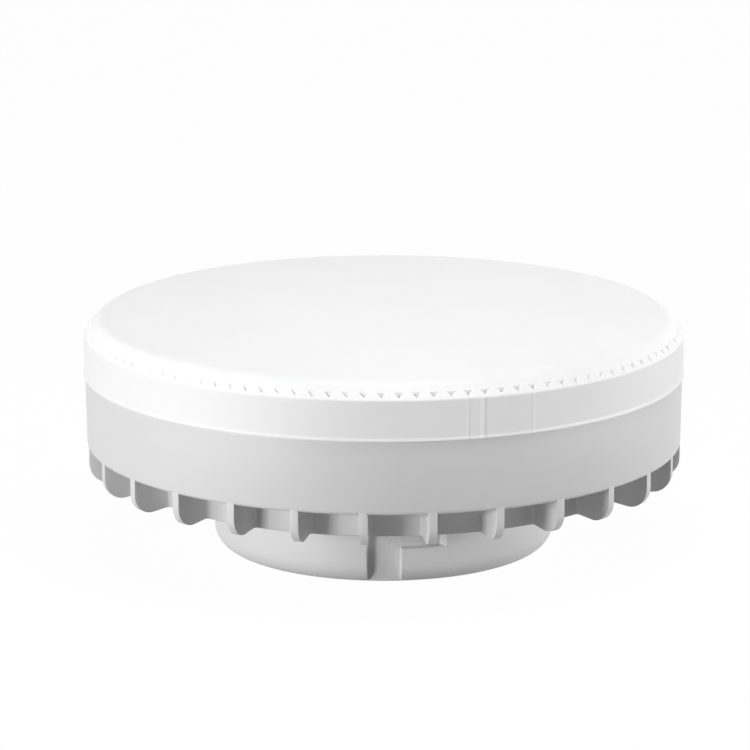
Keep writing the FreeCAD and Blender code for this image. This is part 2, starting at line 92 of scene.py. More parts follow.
SLOT_MOUTH = 4.3
SLOT_FLARE = 0.03
SLOT_FLOOR = 20.0  # radius
SLOT_LEDGE_Z = 4.6
SLOT_TOP_Z = 8.2
SLOT_TURN = 21.1
SLOT_END_FLARE = 1.2
SLOT_LEAD_IN = 0.25
SLOT_FLOOR_STEPS = 12
SLOT_TURN_STEPS = 20
CUT_PAST = 1.0  # how far a cutter reaches past the hub's face and foot
LEAD_OVERLAP = 0.5  # of the lead-in's cutter with the mouth's
LEAD_CLEAR = 0.02  # of the lead-in's cutter from the slot's floor
SLOT_BACK = 17.85  # radius of the thickened wall behind a slot
SLOT_BACK_MARGIN = 4.5
SLOT_BACK_CATCH = 0.3
SLOT_BACK_FOOT_Z = 0.8
SLOT_BACK_TOP_Z = BASE_Z + 0.7

RIB_WIDTH = 1.6
RIB_REACH = 2.5
RIB_ANGLES = (20, 160, 210, 330)
RIB_TOP_Z = 10.0
BOSS_RADIUS = 2.8
BOSS_BORE = 1.25
BOSS_COUNT = 3
SCREW_CIRCLE = 26.0

# the cover

COVER_RADIUS = 37.4
COVER_WALL = 1.5
COVER_LIP = 0.1
COVER_LIP_HEIGHT = 0.42
COVER_LIP_FACE = 0.12  # height of the lip's upright face
COVER_LIP_ROUND = 0.03
COVER_INNER_ROUND = 0.5
BEVEL_Z = 27.15
BEVEL_ROUND = 0.35
SIDE_START = 0.25  # the plain side begins this far below the bevel
SHOULDER_Z = 28.25
SHOULDER_RADIUS = 36.3
TOP_RADIUS = 34.3
TOP_Z = 29.15
CROWN_Z = 29.5
CROWN_SHARES = (0.1, 0.25, 0.4, 0.55, 0.7, 0.8, 0.9, 0.96)  # of the top's radius
CROWN_INNER_SHARES = (0.8, 0.5, 0.2)
ROLL_WIDTH_SHARE = 0.66  # where the rolled edge's middle lies on its width and on its fall
ROLL_FALL_SHARE = 0.3
ROLL_STEPS = 10
COLLAR_RADIUS = 35.55
COLLAR_BORE = 34.35
COLLAR_FOOT_Z = 19.05
COLLAR_ROUND = 0.15
COLLAR_CHAMFER = 0.4
SNAP_Z = 20.25
SNAP_BEAD = 0.3
SNAP_SLOPE = 0.5

NOTCH_COUNT = 112
NOTCH_PHASE = -0.5
NOTCH_WIDTH = 1.25
NOTCH_DEPTH = 0.65
NOTCH_INSET = 0.3
NOTCH_LEAN = 0.1
NOTCH_TIP_Z = 27.3

# upright lines that the mould left on the cover's side: (angle from the front, height), where a
# height of FLUSH is the plain face, more is a raised flank and less is a groove; the height gives
# a fine relief and also paints the colour lighter on the raised flanks and darker in the grooves,
# a painted highlight and painted shade

FLUSH = 0.5
MOULD_LINES = (
    (14.85, FLUSH), (15.0, 0.85), (15.25, 0.85), (15.35, 0.2), (15.65, 0.2), (15.8, FLUSH),
    (17.45, FLUSH), (17.6, 1.0), (18.25, 1.0), (18.4, 0.0), (18.85, 0.0), (19.0, FLUSH),
    (27.6, FLUSH), (27.7, 0.2), (28.0, 0.2), (28.1, 0.8), (28.45, 0.8), (28.6, FLUSH),
)
MOULD_LINES_END = 30.0
MOULD_LINES_FADE = (0.2, 0.05)  # below the bevel, from full to none
MOULD_LINES_RELIEF = 0.03
# painted highlight and shade: the colour is multiplied by these, from the groove's to the raised
# flank's
MOULD_LINES_PAINTED_LIGHT = (0.9, 1.08)

# how finely the meshes are drawn

COLUMNS = 448
BOSS_COLUMNS = 48
ON_AXIS = 1e-6
SMOOTH_ANGLE = 35
COVER_SMOOTH_ANGLE = 17
CAD_SMOOTH_ANGLE = 30
EDGE_ANGLE = 50
MERGE = 0.002
DEGENERATE = 0.001

# floor, lights and camera

FLOOR_HALF = 3.0  # metres
FLOOR_DROP = 0.02  # keeps the floor clear of the hub's foot
FLOOR_GREY = (0.35, 0.35, 0.35, 1)
FLOOR_WHITENESS = 0.98
WHITE_LIGHT = (1, 1, 1, 1)

LIGHT_AIM_Z = 18.0
LIGHTS = (
    # name, azimuth, elevation, distance and size in metres, power in watts
    ("key", -45, 8, 0.8, (0.2, 0.2), 3.24),
    ("left", -72, 8, 0.8, (0.4, 0.2), 2.35),
    ("right", 84, 8, 0.8, (0.3, 0.2), 4.1),
    ("back", 180, 30, 0.8, (0.3, 0.3), 0.7),
    ("overhead", 30, 77, 0.28, (0.16, 0.16), 0.51),
)

CAMERA_PLACE = (-1.10, -578.57, 160.29)
CAMERA_DOWN = 13.51
CAMERA_LENS = 228.16
CAMERA_SENSOR = 36.0
CAMERA_RANGE = (0.01, 20)  # metres


# outlines

def polar(radius, angle):
    """The point at a radius and an angle in radians."""
    return radius * math.cos(angle), radius * math.sin(angle)


def rounded(corners, steps):
    """The closed outline through corners of (radius, z, round), each rounded by its last value."""
    points = [Vector(corner[:2]) for corner in corners]
    out = []
    for i, here in enumerate(points):
        radius = corners[i][2]
        if radius <= 0:
            out.append(here)
            continue
        back = (points[i - 1] - here).normalized()
        ahead = (points[(i + 1) % len(points)] - here).normalized()
        half = back.angle(ahead) / 2
        reach = radius / math.tan(half)
        centre = here + (back + ahead).normalized() * (radius / math.sin(half))
        start = here + back * reach - centre
        end = here + ahead * reach - centre
        turn = start.angle_signed(end)
        for step in range(steps + 1):
            out.append(centre + Matrix.Rotation(-turn * step / steps, 2) @ start)
    return [tuple(point) for point in out]


def arc_points(start, middle, end, steps):
    """Points along the circle through three points, the first left out."""
    (ax, ay), (bx, by), (cx, cy) = start, middle, end
    a_square, b_square, c_square = ax ** 2 + ay ** 2, bx ** 2 + by ** 2, cx ** 2 + cy ** 2
    share = 2 * (ax * (by - cy) + bx * (cy - ay) + cx * (ay - by))
    centre = Vector((
        (a_square * (by - cy) + b_square * (cy - ay) + c_square * (ay - by)) / share,
        (a_square * (cx - bx) + b_square * (ax - cx) + c_square * (bx - ax)) / share,
    ))
    first = Vector(start) - centre
    turn = first.angle_signed(Vector(end) - centre)
    return [tuple(centre + Matrix.Rotation(-turn * step / steps, 2) @ first)
            for step in range(1, steps + 1)]


# meshes

def add_turned(bm, outline, columns=COLUMNS):
    """Sweeps a closed (radius, z) outline about the axis into a closed shell."""
    rings = []
    for radius, z in outline:
        if radius < ON_AXIS:
            rings.append([bm.verts.new((0, 0, z * MM))])
            continue
        rings.append([bm.verts.new((*polar(radius * MM, 2 * math.pi * i / columns), z * MM))
                      for i in range(columns)])
    for here, there in zip(rings, rings[1:] + rings[:1]):
        if len(here) == 1 and len(there) == 1:
            continue
        for i in range(columns):
            j = (i + 1) % columns
            if len(here) == 1:
                bm.faces.new((here[0], there[i], there[j]))
            elif len(there) == 1:
                bm.faces.new((here[i], there[0], here[j]))
            else:
                bm.faces.new((here[i], there[i], there[j], here[j]))


def add_prism(bm, outline, low, high, plane="xy"):
    """A flat outline given depth: from z low to high, or from y low to high for one in xz."""
    def place(u, v, w):
        return (u * MM, v * MM, w * MM) if plane == "xy" else (u * MM, w * MM, v * MM)
    bottom = [bm.verts.new(place(u, v, low)) for u, v in outline]
    top = [bm.verts.new(place(u, v, high)) for u, v in outline]
    bm.faces.new(bottom)
    bm.faces.new(top)
    for i in range(len(outline)):
        j = (i + 1) % len(outline)
        bm.faces.new((bottom[i], bottom[j], top[j], top[i]))


def add_ring_sector(bm, inner, outer, low, high, start, end):
    """A piece of a ring between two angles from +X, in steps of about a degree."""
    count = max(2, round(end - start) + 1)
    angles = [math.radians(start + (end - start) * i / (count - 1)) for i in range(count)]
    outline = [polar(outer, angle) for angle in angles]
    outline += [polar(inner, angle) for angle in reversed(angles)]
    add_prism(bm, outline, low, high)


def outward(bm):
    """Turns the faces of closed shells outwards."""
    bmesh.ops.recalc_face_normals(bm, faces=bm.faces)


def to_object(bm, name, materials=(), smooth_angle=SMOOTH_ANGLE):
    """Makes a smooth shaded object of bm, with sharp edges above the angle, and frees bm."""
    mesh = bpy.data.meshes.new(name)
    bm.to_mesh(mesh)
    bm.free()
    for material in materials:
        mesh.materials.append(material)
    mesh.shade_smooth()
    mesh.set_sharp_from_angle(angle=math.radians(smooth_angle))
    obj = bpy.data.objects.new(name, mesh)
    bpy.context.scene.collection.objects.link(obj)
    return obj


def drop(obj):
    """Removes an object and its mesh."""
    mesh = obj.data
    bpy.data.objects.remove(obj)
    bpy.data.meshes.remove(mesh)


def take_in(bm, obj):
    """Adds an object's mesh to bm and removes the object."""
    bm.from_mesh(obj.data)
    drop(obj)


def turned(obj, degrees):
    """The object with its mesh turned about the lamp's axis."""
    obj.data.transform(Matrix.Rotation(math.radians(degrees), 4, "Z"))
    return obj


def applied(obj):
    """The object with its modifiers worked into its mesh."""
    graph = bpy.context.evaluated_depsgraph_get()
    mesh = bpy.data.meshes.new_from_object(obj.evaluated_get(graph))
    old = obj.data
    obj.modifiers.clear()
    obj.data = mesh
    bpy.data.meshes.remove(old)
    return obj


def soften_edges(obj, width, segments):
    """The object with its sharper edges rounded."""
    bevel = obj.modifiers.new("edge", "BEVEL")
    bevel.width = width * MM
    bevel.segments = segments
    bevel.limit_method = "ANGLE"
    bevel.angle_limit = math.radians(EDGE_ANGLE)
    bevel.miter_outer = "MITER_ARC"
    return applied(obj)


def carve(obj, cutter, operation="DIFFERENCE"):
    """Cuts the cutter out of the object, or joins it on, and removes the cutter."""
    boolean = obj.modifiers.new("carve", "BOOLEAN")
    boolean.object = cutter
    boolean.operation = operation
    boolean.solver = "EXACT"
    applied(obj)
    drop(cutter)


# copies round the axis

def link_nodes(tree, start, start_socket, end, end_socket):
    tree.links.new(start.outputs[start_socket], end.inputs[end_socket])


def ring_tree():
    """Copies of a piece, evenly turned about the lamp's axis."""
    tree = bpy.data.node_groups.new("copies round the axis", "GeometryNodeTree")
    for label, direction, kind in (
            ("Piece", "INPUT", "NodeSocketGeometry"),
            ("Copies", "INPUT", "NodeSocketInt"),
            ("First angle", "INPUT", "NodeSocketFloat"),
            ("Finish", "INPUT", "NodeSocketMaterial"),
            ("Ring", "OUTPUT", "NodeSocketGeometry")):
        tree.interface.new_socket(label, in_out=direction, socket_type=kind)
    new = tree.nodes.new
    group_in = new("NodeGroupInput")
    group_out = new("NodeGroupOutput")
    points = new("GeometryNodePoints")
    index = new("GeometryNodeInputIndex")
    step = new("ShaderNodeMath")
    step.operation = "DIVIDE"
    step.inputs[0].default_value = 2 * math.pi
    turn = new("ShaderNodeMath")
    turn.operation = "MULTIPLY_ADD"
    euler = new("ShaderNodeCombineXYZ")
    piece = new("GeometryNodeGeometryToInstance")
    place = new("GeometryNodeInstanceOnPoints")
    real = new("GeometryNodeRealizeInstances")
    finish = new("GeometryNodeSetMaterial")
    link_nodes(tree, group_in, "Copies", points, "Count")
    link_nodes(tree, group_in, "Copies", step, 1)
    link_nodes(tree, index, "Index", turn, 0)
    link_nodes(tree, step, 0, turn, 1)
    link_nodes(tree, group_in, "First angle", turn, 2)
    link_nodes(tree, turn, 0, euler, "Z")
    link_nodes(tree, group_in, "Piece", piece, "Geometry")
    link_nodes(tree, points, 0, place, "Points")
    link_nodes(tree, piece, "Instances", place, "Instance")
    link_nodes(tree, euler, "Vector", place, "Rotation")
    link_nodes(tree, place, "Instances", real, "Geometry")
    link_nodes(tree, real, "Geometry", finish, "Geometry")
    link_nodes(tree, group_in, "Finish", finish, "Material")
    link_nodes(tree, finish, "Geometry", group_out, "Ring")
    return tree


RING_TREE = ring_tree()


def ringed(obj, copies, first_angle, material):
    """The object as that many copies round the axis, as a plain mesh."""
    modifier = obj.modifiers.new("ring", "NODES")
    modifier.node_group = RING_TREE
    values = {"Copies": copies, "First angle": math.radians(first_angle), "Finish": material}
    for item in RING_TREE.interface.items_tree:
        if item.name in values and item.in_out == "INPUT":
            modifier[item.identifier] = values[item.name]
    return applied(obj)


# finishes

def blank_material(name):
    material = bpy.data.materials.new(name)
    material.use_nodes = True
    tree = material.node_tree
    return material, tree, tree.nodes["Principled BSDF"]


def object_coordinates(tree):
    return tree.nodes.new("ShaderNodeTexCoord").outputs["Object"]


def noise(tree, place, scale, detail, roughness=0.5):
    node = tree.nodes.new("ShaderNodeTexNoise")
    node.inputs["Scale"].default_value = scale
    node.inputs["Detail"].default_value = detail
    node.inputs["Roughness"].default_value = roughness
    tree.links.new(place, node.inputs["Vector"])
    return node


def ranged(tree, source, low, high):
    """The source's values from 0 to 1, moved to lie between low and high."""
    node = tree.nodes.new("ShaderNodeMapRange")
    node.inputs["To Min"].default_value = low
    node.inputs["To Max"].default_value = high
    link_nodes(tree, source, 0, node, "Value")
    return node


def coloured(tree, source, shader, dark, light):
    """Colours the shader from dark to light by the source, and returns the colour's node."""
    ramp = tree.nodes.new("ShaderNodeValToRGB")
    ramp.color_ramp.elements[0].position = 0.3
    ramp.color_ramp.elements[0].color = (*dark, 1)
    ramp.color_ramp.elements[1].position = 0.7
    ramp.color_ramp.elements[1].color = (*light, 1)
    link_nodes(tree, source, 0, ramp, "Fac")
    link_nodes(tree, ramp, "Color", shader, "Base Color")
    return ramp


def glossed(tree, source, shader, roughness, less, more):
    """Lets the shader's roughness wander by the source."""
    gloss = ranged(tree, source, roughness - less, roughness + more)
    link_nodes(tree, gloss, "Result", shader, "Roughness")


def grained(tree, source, shader, strength, depth):
    """Gives the shader the source as a fine relief, and returns the relief's node."""
    bump = tree.nodes.new("ShaderNodeBump")
    bump.inputs["Strength"].default_value = strength
    bump.inputs["Distance"].default_value = depth * MM
    link_nodes(tree, source, 0, bump, "Height")
    link_nodes(tree, bump, "Normal", shader, "Normal")
    return bump


def moulded_plastic(name, dark, light, roughness, subsurface=0.0, depth=1.0, specular=0.5,
                    mould_lines=False):
    """Moulded plastic: faint flow clouding, a fine sparked grain and a slightly uneven gloss."""
    material, tree, shader = blank_material(name)
    place = object_coordinates(tree)
    colour = coloured(tree, noise(tree, place, 60.0, 2.0), shader, dark, light)
    grain = grained(tree, noise(tree, place, 4500.0, 2.0, 0.6), shader, strength=0.02, depth=0.03)
    glossed(tree, noise(tree, place, 180.0, 2.0), shader, roughness, 0.04, 0.04)
    shader.inputs["IOR"].default_value = 1.49
    shader.inputs["Specular IOR Level"].default_value = specular
    shader.inputs["Subsurface Weight"].default_value = subsurface
    shader.inputs["Subsurface Radius"].default_value = (1.0, 0.97, 0.92)
    shader.inputs["Subsurface Scale"].default_value = depth * MM
    # the cover's mould lines, with a fine relief and a painted highlight and painted shade in the
    # colour
    if mould_lines:
        add_mould_lines_and_painted_light(tree, place, shader, colour, grain)
    return material


def add_mould_lines_and_painted_light(tree, place, shader, colour, grain):
    """The mould's upright lines on the cover's side: a fine relief, with a painted highlight on the
    raised flank beside painted shade in the groove.
    """
    split = tree.nodes.new("ShaderNodeSeparateXYZ")
    tree.links.new(place, split.inputs["Vector"])
    angle = tree.nodes.new("ShaderNodeMath")
    angle.operation = "ARCTAN2"
    link_nodes(tree, split, "Y", angle, 0)
    link_nodes(tree, split, "X", angle, 1)
    along = tree.nodes.new("ShaderNodeMapRange")
    along.inputs["From Min"].default_value = math.radians(FRONT)
    along.inputs["From Max"].default_value = math.radians(FRONT + MOULD_LINES_END)
    link_nodes(tree, angle, 0, along, "Value")
    profile = tree.nodes.new("ShaderNodeValToRGB")
    stops = profile.color_ramp.elements
    stops[0].position, stops[0].color = 0.0, (FLUSH, FLUSH, FLUSH, 1)
    stops[1].position, stops[1].color = 1.0, (FLUSH, FLUSH, FLUSH, 1)
    for degrees, height in MOULD_LINES:
        stops.new(degrees / MOULD_LINES_END).color = (height, height, height, 1)
    link_nodes(tree, along, "Result", profile, "Fac")

    on_side = tree.nodes.new("ShaderNodeMapRange")
    full, none = MOULD_LINES_FADE
    on_side.inputs["From Min"].default_value = (BEVEL_Z - full) * MM
    on_side.inputs["From Max"].default_value = (BEVEL_Z - none) * MM
    on_side.inputs["To Min"].default_value = 1.0
    on_side.inputs["To Max"].default_value = 0.0
    link_nodes(tree, split, "Z", on_side, "Value")
    height = tree.nodes.new("ShaderNodeMix")
    height.data_type = "FLOAT"
    height.inputs["A"].default_value = FLUSH
    link_nodes(tree, on_side, "Result", height, "Factor")
    link_nodes(tree, profile, "Color", height, "B")

    grained(tree, height, grain, strength=1.0, depth=MOULD_LINES_RELIEF)
    # painted highlight on the raised flanks and painted shade in the grooves, multiplied into the
    # colour
    painted_light_and_shade = tree.nodes.new("ShaderNodeMix")
    painted_light_and_shade.data_type = "RGBA"
    painted_light_and_shade.blend_type = "MULTIPLY"
    painted_light_and_shade.inputs[0].default_value = 1.0
    link_nodes(tree, colour, "Color", painted_light_and_shade, 6)
    link_nodes(tree, ranged(tree, height, *MOULD_LINES_PAINTED_LIGHT), "Result", painted_light_and_shade, 7)
    link_nodes(tree, painted_light_and_shade, 2, shader, "Base Color")


def metal(name, dark, light, roughness, stretch=(1, 1, 1), scale=900.0):
    """Metal with fine drawn or turned lines and an uneven polish."""
    material, tree, shader = blank_material(name)
    mapping = tree.nodes.new("ShaderNodeMapping")
    mapping.inputs["Scale"].default_value = stretch
    tree.links.new(object_coordinates(tree), mapping.inputs["Vector"])
    lines = noise(tree, mapping.outputs["Vector"], scale, 4.0)
    coloured(tree, lines, shader, dark, light)
    glossed(tree, lines, shader, roughness, 0.06, 0.08)
    grained(tree, lines, shader, strength=0.08, depth=0.01)
    shader.inputs["Metallic"].default_value = 1.0
    return material


def coated(name, dark, light, roughness, scale, bump):
    """A dipped, printed or sintered coat with a mottled colour."""
    material, tree, shader = blank_material(name)
    mottle = noise(tree, object_coordinates(tree), scale, 4.0, 0.6)
    coloured(tree, mottle, shader, dark, light)
    glossed(tree, mottle, shader, roughness, 0.05, 0.08)
    grained(tree, mottle, shader, strength=bump, depth=0.05)
    return material


def wound_wire(name, dark, light, roughness):
    """Enamelled copper turns, stacked along the axis."""
    material, tree, shader = blank_material(name)
    turns = tree.nodes.new("ShaderNodeTexWave")
    turns.wave_type = "BANDS"
    turns.bands_direction = "Z"
    turns.inputs["Scale"].default_value = 700.0
    turns.inputs["Distortion"].default_value = 0.6
    tree.links.new(object_coordinates(tree), turns.inputs["Vector"])
    coloured(tree, turns, shader, dark, light)
    grained(tree, turns, shader, strength=0.8, depth=0.1)
    shader.inputs["Metallic"].default_value = 0.8
    shader.inputs["Roughness"].default_value = roughness
    return material


OPAL = moulded_plastic("opal_cover_plastic", (0.90, 0.90, 0.90), (0.93, 0.93, 0.93), 0.5,
                       subsurface=0.2, depth=0.5, specular=0.35, mould_lines=True)
WHITE = moulded_plastic("white_body_plastic", (0.69, 0.69, 0.69), (0.705, 0.705, 0.705), 0.48)


# the cover

def cover_outline(notch_z):
    """The cover's section (radius, z) where the knurl's notch is cut down to notch_z."""
    inner = SHOULDER_RADIUS + NOTCH_INSET
    fall = (SHOULDER_Z - BEVEL_Z) / (COVER_RADIUS - SHOULDER_RADIUS)
    crest_z = SHOULDER_Z - NOTCH_INSET * fall
    notch_z = min(notch_z, crest_z)
    rise = CROWN_Z - TOP_Z
    ball = (TOP_RADIUS ** 2 + rise ** 2) / (2 * rise)

    def crown(top_z, share):
        radius = share * TOP_RADIUS
        return radius, top_z - ball + math.sqrt(ball ** 2 - radius ** 2)

    outline = [(0, CROWN_Z)]
    outline += [crown(CROWN_Z, share) for share in CROWN_SHARES]
    outline.append((TOP_RADIUS, TOP_Z))
    middle = (TOP_RADIUS + ROLL_WIDTH_SHARE * (SHOULDER_RADIUS - TOP_RADIUS),
              TOP_Z - ROLL_FALL_SHARE * (TOP_Z - SHOULDER_Z))
    outline += arc_points((TOP_RADIUS, TOP_Z), middle, (SHOULDER_RADIUS, SHOULDER_Z), ROLL_STEPS)
    outline += rounded([
        (inner, crest_z, 0.0),
        (inner + NOTCH_LEAN * (crest_z - notch_z), notch_z, 0.0),
        (COVER_RADIUS - (notch_z - BEVEL_Z) / fall, notch_z, 0.0),
        (COVER_RADIUS, BEVEL_Z, BEVEL_ROUND),
        (COVER_RADIUS, BEVEL_Z - SIDE_START, 0.0),
        (COVER_RADIUS, RIM_Z + COVER_LIP_HEIGHT, 0.0),
        (COVER_RADIUS + COVER_LIP, RIM_Z + COVER_LIP_FACE, COVER_LIP_ROUND),
        (COVER_RADIUS + COVER_LIP, RIM_Z, COVER_LIP_ROUND),
        (COLLAR_RADIUS, RIM_Z, 0.0),
        (COLLAR_RADIUS, SNAP_Z + SNAP_SLOPE, 0.0),
        (COLLAR_RADIUS + SNAP_BEAD, SNAP_Z, 0.0),
        (COLLAR_RADIUS, SNAP_Z - SNAP_SLOPE, 0.0),
        (COLLAR_RADIUS, COLLAR_FOOT_Z, COLLAR_ROUND),
        (COLLAR_BORE, COLLAR_FOOT_Z, COLLAR_ROUND),
        (COLLAR_BORE, RIM_Z + COVER_WALL - COLLAR_CHAMFER, 0.0),
        (COVER_RADIUS - COVER_WALL, RIM_Z + COVER_WALL, 0.0),
        (COVER_RADIUS - COVER_WALL, SHOULDER_Z - COVER_WALL, COVER_INNER_ROUND),
        (TOP_RADIUS, TOP_Z - COVER_WALL, 0.0),
    ], steps=3)
    outline += [crown(CROWN_Z - COVER_WALL, share) for share in CROWN_INNER_SHARES]
    outline.append((0, CROWN_Z - COVER_WALL))
    return outline


def cover_slice():
    """The slice of the cover that holds one vee notch of the knurl, at angle 0."""
    bm = bmesh.new()
    half_pitch = math.pi / NOTCH_COUNT
    edge = NOTCH_WIDTH / 2 / (SHOULDER_RADIUS + NOTCH_INSET)
    top_z = NOTCH_TIP_Z + NOTCH_DEPTH
    columns = ((-half_pitch, top_z), (-edge, top_z), (0, NOTCH_TIP_Z),
               (edge, top_z), (half_pitch, top_z))
    rows = []
    for angle, notch_z in columns:
        rows.append([bm.verts.new((*polar(radius * MM, angle), z * MM))
                     for radius, z in cover_outline(notch_z)])
    for here, there in zip(rows, rows[1:]):
        for i in range(len(here) - 1):
            bm.faces.new((here[i], here[i + 1], there[i + 1], there[i]))
    return to_object(bm, "cover_slice")


def make_cover():
    bm = bmesh.new()
    take_in(bm, ringed(cover_slice(), NOTCH_COUNT, FRONT + NOTCH_PHASE, OPAL))
    bmesh.ops.remove_doubles(bm, verts=bm.verts, dist=MERGE * MM)
    bmesh.ops.dissolve_degenerate(bm, edges=bm.edges, dist=DEGENERATE * MM)
    outward(bm)
    cover = to_object(bm, "opal_cover", [OPAL], COVER_SMOOTH_ANGLE)
    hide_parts("diffuser_cover")
    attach(cover, "root")


# the body

def band():
    """The ring from the rim down over the band, step, skirt and base plate, and back inside."""
    outline = rounded([
        (BAND_TOP, RIM_Z, 0.15),
        (RIM_BORE, RIM_Z, 0.1),
        (RIM_BORE, LEDGE_Z, 0.0),
        (LEDGE_BORE, LEDGE_Z, 0.1),
        (LEDGE_BORE, STEP_INSIDE_Z, 0.3),
        (SKIRT_BORE, STEP_INSIDE_Z, 0.0),
        (SKIRT_BORE, FLOOR_Z, 0.3),
        (HUB_BORE + OVERLAP, FLOOR_Z, 0.0),
        (HUB_BORE + OVERLAP, BASE_Z, 0.0),
        (SKIRT_BORE, BASE_Z, 0.3),
        (SKIRT_BORE, SKIRT_Z, 0.2),
        (SKIRT_RADIUS, SKIRT_Z, 0.2),
        (SKIRT_RADIUS, STEP_Z, 0.25),
        (BAND_FOOT, STEP_Z, BAND_FOOT_ROUND),
    ], steps=5)
    bm = bmesh.new()
    add_turned(bm, outline)
    outward(bm)
    return to_object(bm, "band")


def band_radius(z):
    """The band's radius at a height, with its draft."""
    return BAND_FOOT + (BAND_TOP - BAND_FOOT) * (z - STEP_Z) / (RIM_Z - STEP_Z)


def fin():
    """One fin at angle 0, swept outwards from a flared root, its lower corner rounded."""
    tip = band_radius(FIN_Z + FIN_CORNER) - FIN_INSET
    half = FIN_THICKNESS / 2
    root = SKIRT_RADIUS - FIN_ROOT_SINK
    fall = (SKIRT_Z - FIN_Z) / (tip - root)
    sections = [(root - OVERLAP, half + FIN_FILLET, SKIRT_Z + FIN_HEEL_RISE)]
    for degrees in range(0, 91, 15):
        out = FIN_FILLET * (1 - math.cos(math.radians(degrees)))
        flare = FIN_FILLET * (1 - math.sin(math.radians(degrees)))
        sections.append((root + out, half + flare, SKIRT_Z + FIN_ROOT_RISE - fall * out))
    for degrees in range(0, 91, 9):
        out = tip - FIN_CORNER * (1 - math.sin(math.radians(degrees)))
        rise = FIN_CORNER * (1 - math.cos(math.radians(degrees)))
        sections.append((out, half, FIN_Z + rise))
    bm = bmesh.new()
    rings = []
    for radius, width, foot_z in sections:
        corners = ((width, foot_z), (-width, foot_z), (-width, FIN_TOP_Z), (width, FIN_TOP_Z))
        rings.append([bm.verts.new((radius * MM, y * MM, z * MM)) for y, z in corners])
    for here, there in zip(rings, rings[1:]):
        for i in range(4):
            j = (i + 1) % 4
            bm.faces.new((here[i], here[j], there[j], there[i]))
    bm.faces.new(rings[0])
    bm.faces.new(rings[-1])
    outward(bm)
    return soften_edges(to_object(bm, "fin"), FIN_EDGE, 3)


def slot_cutters():
    """A bayonet slot at the front: its mouth at the foot, the leg above the ledge, the lead-in."""
    outer = HUB_RADIUS + CUT_PAST
    half = SLOT_MOUTH / 2
    depth = HUB_RADIUS - SLOT_FLOOR
    right_in = half * SLOT_FLOOR / HUB_RADIUS
    right_out = half * outer / HUB_RADIUS
    left_in = -right_in + SLOT_FLARE
    left_out = (left_in - SLOT_FLARE * (outer - SLOT_FLOOR) / depth
                - half * (outer - SLOT_FLOOR) / HUB_RADIUS)
    floor = []
    for i in range(SLOT_FLOOR_STEPS + 1):
        x = right_in + (left_in - right_in) * i / SLOT_FLOOR_STEPS
        floor.append((x, -math.sqrt(SLOT_FLOOR ** 2 - x ** 2)))
    mouth = bmesh.new()
    add_prism(mouth, [(left_out, -outer), (right_out, -outer)] + floor, -CUT_PAST, SLOT_TOP_Z)

    def turn(degrees, steps):
        return [math.radians(FRONT + degrees * i / steps) for i in range(steps + 1)]

    flare_out = SLOT_END_FLARE * (outer - HUB_RADIUS) / depth
    inner_turn = turn(SLOT_TURN - SLOT_END_FLARE, SLOT_TURN_STEPS)
    outer_turn = turn(SLOT_TURN + flare_out, SLOT_TURN_STEPS + 2)
    leg = bmesh.new()
    leg_outline = [polar(SLOT_FLOOR, angle) for angle in inner_turn]
    leg_outline += [polar(outer, angle) for angle in reversed(outer_turn)]
    add_prism(leg, leg_outline, SLOT_LEDGE_Z, SLOT_TOP_Z)

    corner_x = left_in - SLOT_LEAD_IN
    past_x = left_in + LEAD_OVERLAP
    curve = [(corner_x, -CUT_PAST), (past_x, -CUT_PAST), (past_x, SLOT_LEAD_IN)]
    for degrees in range(0, -91, -15):
        across, up = polar(SLOT_LEAD_IN, math.radians(degrees))
        curve.append((corner_x + across, SLOT_LEAD_IN + up))
    lead = bmesh.new()
    add_prism(lead, curve, -outer, -SLOT_FLOOR + LEAD_CLEAR, "xz")

    cutters = []
    for bm in (mouth, leg, lead):
        outward(bm)
        cutters.append(to_object(bm, "slot_piece"))
    return cutters


def slot_backing():
    """The thickened wall behind the slot at the front."""
    bm = bmesh.new()
    mouth_angle = math.degrees(math.asin(SLOT_MOUTH / 2 / HUB_RADIUS))
    add_ring_sector(bm, SLOT_BACK, HUB_BORE + SLOT_BACK_CATCH, SLOT_BACK_FOOT_Z, SLOT_BACK_TOP_Z,
                    FRONT - mouth_angle - SLOT_BACK_MARGIN, FRONT + SLOT_TURN + SLOT_BACK_MARGIN)
    outward(bm)
    return to_object(bm, "slot_backing")


def hub():
    """The round hub, hollow, with its two bayonet slots and the wall behind each."""
    outline = rounded([
        (0, 0, 0.0),
        (HUB_RADIUS, 0, HUB_FOOT_ROUND),
        (HUB_RADIUS, HUB_TOP_Z, 0.0),
        (HUB_BORE, HUB_TOP_Z, 0.0),
        (HUB_BORE, HUB_FLOOR, 0.3),
        (0, HUB_FLOOR, 0.0),
    ], steps=10)
    bm = bmesh.new()
    add_turned(bm, outline)
    outward(bm)
    wall = to_object(bm, "hub")
    for degrees in (0, 180):
        carve(wall, turned(slot_backing(), degrees), "UNION")
        for cutter in slot_cutters():
            carve(wall, turned(cutter, degrees))
    return soften_edges(wall, HUB_EDGE, 2)


def board_ribs():
    """The ribs on the hub's wall that carry the driver board."""
    start, end, half = HUB_BORE - RIB_REACH, HUB_BORE + OVERLAP, RIB_WIDTH / 2
    ribs = bmesh.new()
    for degrees in RIB_ANGLES:
        bm = bmesh.new()
        outline = [(start, -half), (end, -half), (end, half), (start, half)]
        add_prism(bm, outline, HUB_FLOOR - OVERLAP, RIB_TOP_Z)
        outward(bm)
        take_in(ribs, turned(to_object(bm, "board_rib"), degrees))
    return to_object(ribs, "board_ribs")


def screw_bosses():
    """The bosses that take the board's screws."""
    foot_z = FLOOR_Z - OVERLAP
    tube = [(BOSS_RADIUS, foot_z), (BOSS_RADIUS, LEDGE_Z), (BOSS_BORE, LEDGE_Z), (BOSS_BORE, foot_z)]
    bm = bmesh.new()
    add_turned(bm, tube, BOSS_COLUMNS)
    outward(bm)
    bmesh.ops.translate(bm, verts=bm.verts, vec=(SCREW_CIRCLE * MM, 0, 0))
    return ringed(to_object(bm, "screw_boss"), BOSS_COUNT, 90, WHITE)


